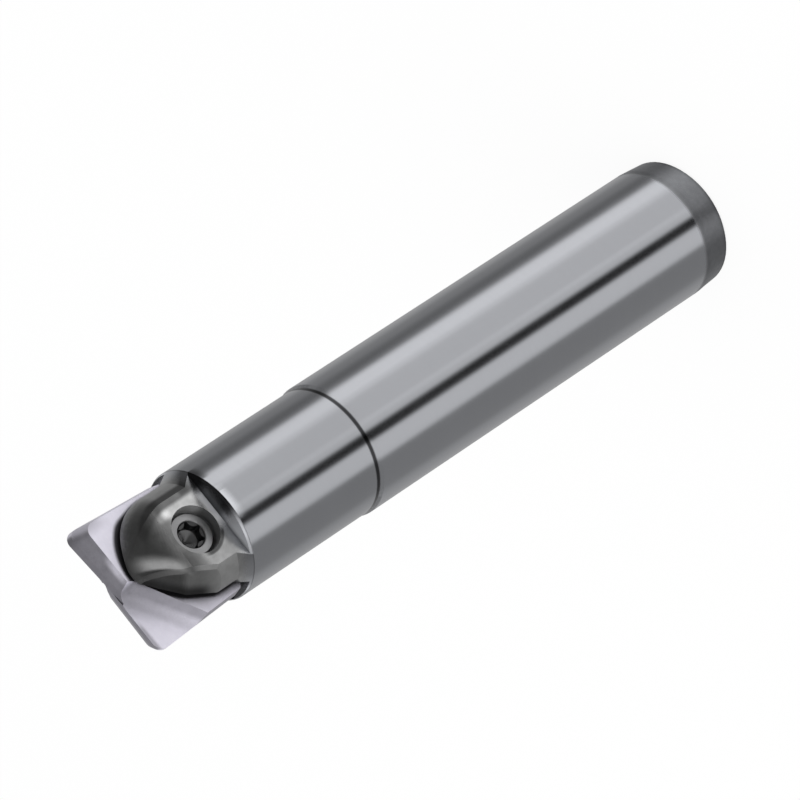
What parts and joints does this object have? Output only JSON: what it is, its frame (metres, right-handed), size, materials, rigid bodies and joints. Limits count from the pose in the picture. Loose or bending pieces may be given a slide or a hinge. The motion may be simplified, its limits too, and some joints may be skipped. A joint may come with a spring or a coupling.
{
  "type": "corner radius end mill",
  "caption": "Indexable corner radius end mill: a round steel shank with a slit round-nosed head, a clamped carbide plate and its clamp screw.",
  "frame": {"origin": "centre of the shank's rear end face", "axes": "+Z along the tool axis to the cutting end, -Y towards the head of the clamp screw"},
  "size_m": [0.02, 0.02, 0.116],
  "materials": {
    "body_steel": "ground and polished",
    "carbide": "ground carbide, fine satin",
    "screw_steel": "satin"
  },
  "bodies": {
    "root": {"tool_body": "body_steel", "insert": "carbide", "clamp_screw": "screw_steel"}
  },
  "joints": []
}
